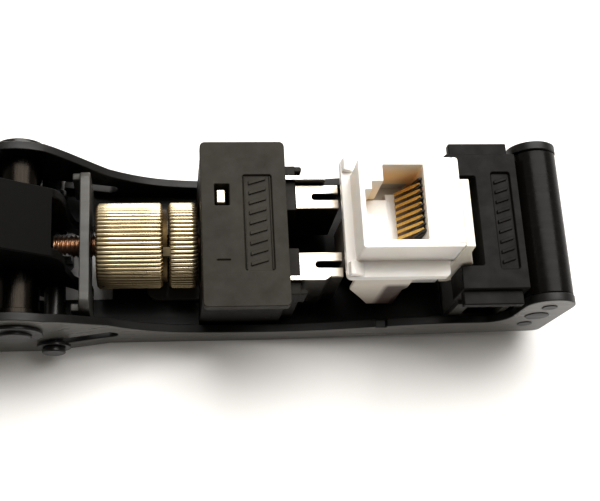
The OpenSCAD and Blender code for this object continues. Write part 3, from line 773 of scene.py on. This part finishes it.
def build_fixed_grip():
    low, high = low_high("fixed_grip")
    inner_low, inner_high = low_high("fixed_handle")
    gap, lip = 0.02, 0.4
    inner_y = inner_high.y + gap
    floor_z = inner_low.z - gap
    inner_x0 = inner_low.x
    length = high.x - low.x

    def outside(d, z_top):
        r = GRIP_CORNER
        loop = [(-high.y + d, z_top)]
        for cy, start in ((-high.y + d + r, 180), (high.y - d - r, 270)):
            for k in range(8):
                a = math.radians(start + 90 * k / 7)
                loop.append((cy + r * math.cos(a), low.z + d + r + r * math.sin(a)))
        return loop + [(high.y - d, z_top)]

    rings = []
    steps = 190
    for i in range(steps + 1):
        x = inner_x0 + (high.x - inner_x0) * i / steps
        d = rib_depth(x - low.x, length)
        top = high.z - 0.35 * d
        loop = outside(d, top - 0.5)
        loop += [(high.y - d - 0.5, top), (inner_y + lip, top), (inner_y, top - lip), (inner_y, floor_z)]
        loop += [(-inner_y, floor_z), (-inner_y, top - lip), (-inner_y - lip, top), (-high.y + d + 0.5, top)]
        rings.append([(x, y, z) for y, z in loop])
    # the closed end of the sleeve, domed towards its tip
    cap = []
    steps = 8
    for i in range(steps + 1):
        x = low.x + (inner_x0 - low.x) * i / steps
        d = 2.2 * (1 - math.sin(math.pi / 2 * min(1, (i + 0.6) / steps))) + 0.3
        loop = rounded_loop(low.y + d, high.y - d, low.z + d, high.z - d, GRIP_CORNER)
        cap.append([(x, y, z) for y, z in loop])
    sleeve = joined(loft(rings), loft(cap))
    grip = piece("fixed_grip_sleeve", *sleeve, "frame", RUBBER, "grip_rubber", sharp=50)
    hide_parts("fixed_grip")


def build_moving_grip():
    """Closed sleeve on the open lever, drawn along the lever's own slope."""
    handle_half = low_high("moving_handle")[1].y
    half = low_high("moving_grip")[1].y
    tilt = math.radians(31)
    pivot_z = ((pivot_low.z + pivot_high.z) / 2) / MM

    def lever(u, y, n):
        x = -u * math.cos(tilt) + n * math.sin(tilt)
        return (x, y, pivot_z + u * math.sin(tilt) + n * math.cos(tilt))

    # u runs along the lever from the pivot and n across it
    start, end, inner_end = 48.0, 145.0, 142.05
    bottom, top = -1.0, 12.95
    hole_bottom, hole_top = 1.18, 10.99
    hole = rounded_loop(-handle_half - 0.02, handle_half + 0.02, hole_bottom, hole_top, 0.05)
    rings = []
    steps = 200
    for i in range(steps + 1):
        u = end + (start - end) * i / steps
        d = rib_depth(end - u, end - start) + 0.05
        rings.append([lever(u, y, n) for y, n in rounded_loop(-half + d, half - d, bottom + d, top - d, 3)])
    rings += [[lever(u, y, n) for y, n in hole] for u in (start, inner_end)]
    grip = piece("moving_grip_sleeve", *loft(rings), "handle", RUBBER, "grip_rubber", sharp=50)
    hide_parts("moving_grip")


BARS = 9
BAR_PITCH = 1.65


def leaning_bars(x, y, reach, lean, thick, z0, z1):
    """Flat bars side by side along Y from y on; each leans from x to x + reach."""
    bars = []
    for i in range(BARS):
        y0 = y + BAR_PITCH * i
        outline = [(x, y0), (x + reach, y0 + lean), (x + reach, y0 + lean + thick), (x, y0 + thick)]
        bars.append(slab(outline, z0, z1))
    return bars


def build_moving_die_details():
    """Plain raised bars between two lines in the panel, and the tips of the lugs beside the blades."""
    top = low_high("moving_die")[1].z
    marks = leaning_bars(36.0, -7.0, reach=2.7, lean=0.8, thick=0.62, z0=top - 0.6, z1=top - 0.12)
    for x in (35.25, 39.23):
        marks.append(brick(x, x + 0.22, -7.6, 7.6, top - 0.6, top - 0.14))
    obj = piece("moving_die_relief", *joined(*marks), "die_slide", MOVING_PLASTIC, "black_plastic")
    round_edges(obj, 0.09)
    root, end, chamfer = 43.2, 44.9, 0.25
    lugs = []
    for y0, y1 in ((-10.6, -9.75), (9.75, 10.6)):
        tip = [(root, y0), (end - chamfer, y0), (end, y0 + chamfer)]
        tip += [(end, y1 - chamfer), (end - chamfer, y1), (root, y1)]
        lugs.append(slab(tip, 13.5, top - 3.55))
    obj = piece("moving_die_lug_tips", *joined(*lugs), "die_slide", MOVING_PLASTIC, "black_plastic")
    round_edges(obj, 0.12)


def build_fixed_die_details():
    """Plain raised bars in the panel, and small ribs on the front step."""
    top = low_high("fixed_die")[1].z
    marks = leaning_bars(74.95, -7.1, reach=2.1, lean=0.7, thick=0.55, z0=top - 0.7, z1=top - 0.2)
    obj = piece("fixed_die_relief", *joined(*marks), "frame", FIXED_PLASTIC, "fixed_plastic")
    round_edges(obj, 0.08)
    ribs = []
    for i in range(4):
        y = -11 + 0.5 * i
        ribs.append(brick(69.2, 78.0, y, y + 0.2, top - 0.3, top - 0.005))
    piece("fixed_die_fine_ribs", *joined(*ribs), "frame", FIXED_PLASTIC, "fixed_plastic")


CONTACT_PITCH = 1.02


def build_jack_details():
    """Wedges on the flange, the stepped floor of the plug opening, and the comb behind the contacts."""
    flange = 23.2
    base, crest = flange - 0.1, flange + 1.15
    outline = [(50.35, base), (52.9, base), (51.2, crest), (50.6, crest)]
    wedges = [bar(outline, y0, y1) for y0, y1 in ((-9.5, -7.3), (7.3, 9.5))]
    obj = piece("jack_flange_wedges", *joined(*wedges), "jack", WHITE, "jack_white")
    round_edges(obj, 0.18, segments=3)
    floor = 20.25
    shelf = [brick(53.65, 57.3, -3.25, 3.2, floor, 22.0), brick(55.45, 57.3, -5.85, -3.15, floor, 22.0)]
    shelf += [brick(57.2, 58.75, -5.85, 4.3, floor, 21.5)]
    obj = piece("jack_mouth_shelf", *joined(*shelf), "jack", WHITE, "jack_white")
    round_edges(obj, 0.06)
    back = 61.45
    comb = [bar([(back, 27.9), (back, 20.3), (58.6, 20.3), (58.7, 21.7), (60.9, 26.9)], -4.35, 4.35)]
    for i in range(9):
        y = CONTACT_PITCH * (i - 4)
        comb.append(bar([(back, 28.5), (back, 24), (59.9, 24.2), (60.9, 28.3)], y - 0.15, y + 0.15))
    obj = piece("jack_contact_comb", *joined(*comb), "jack", COMB, "black_plastic")
    round_edges(obj, 0.05)


make_camera()
set_view()
make_floor()
make_world()
make_light(
    "back_soft_box",
    place=(0.28, 0.46, 0.92),
    target=(0.03, 0, 0),
    size=(1.2, 0.8),
    power=22,
    colour=(1.0, 0.985, 0.96),
)
paint_nodes()
build_adjuster()
build_stud()
build_spring()
build_fixed_grip()
build_moving_grip()
build_moving_die_details()
build_fixed_die_details()
build_jack_details()
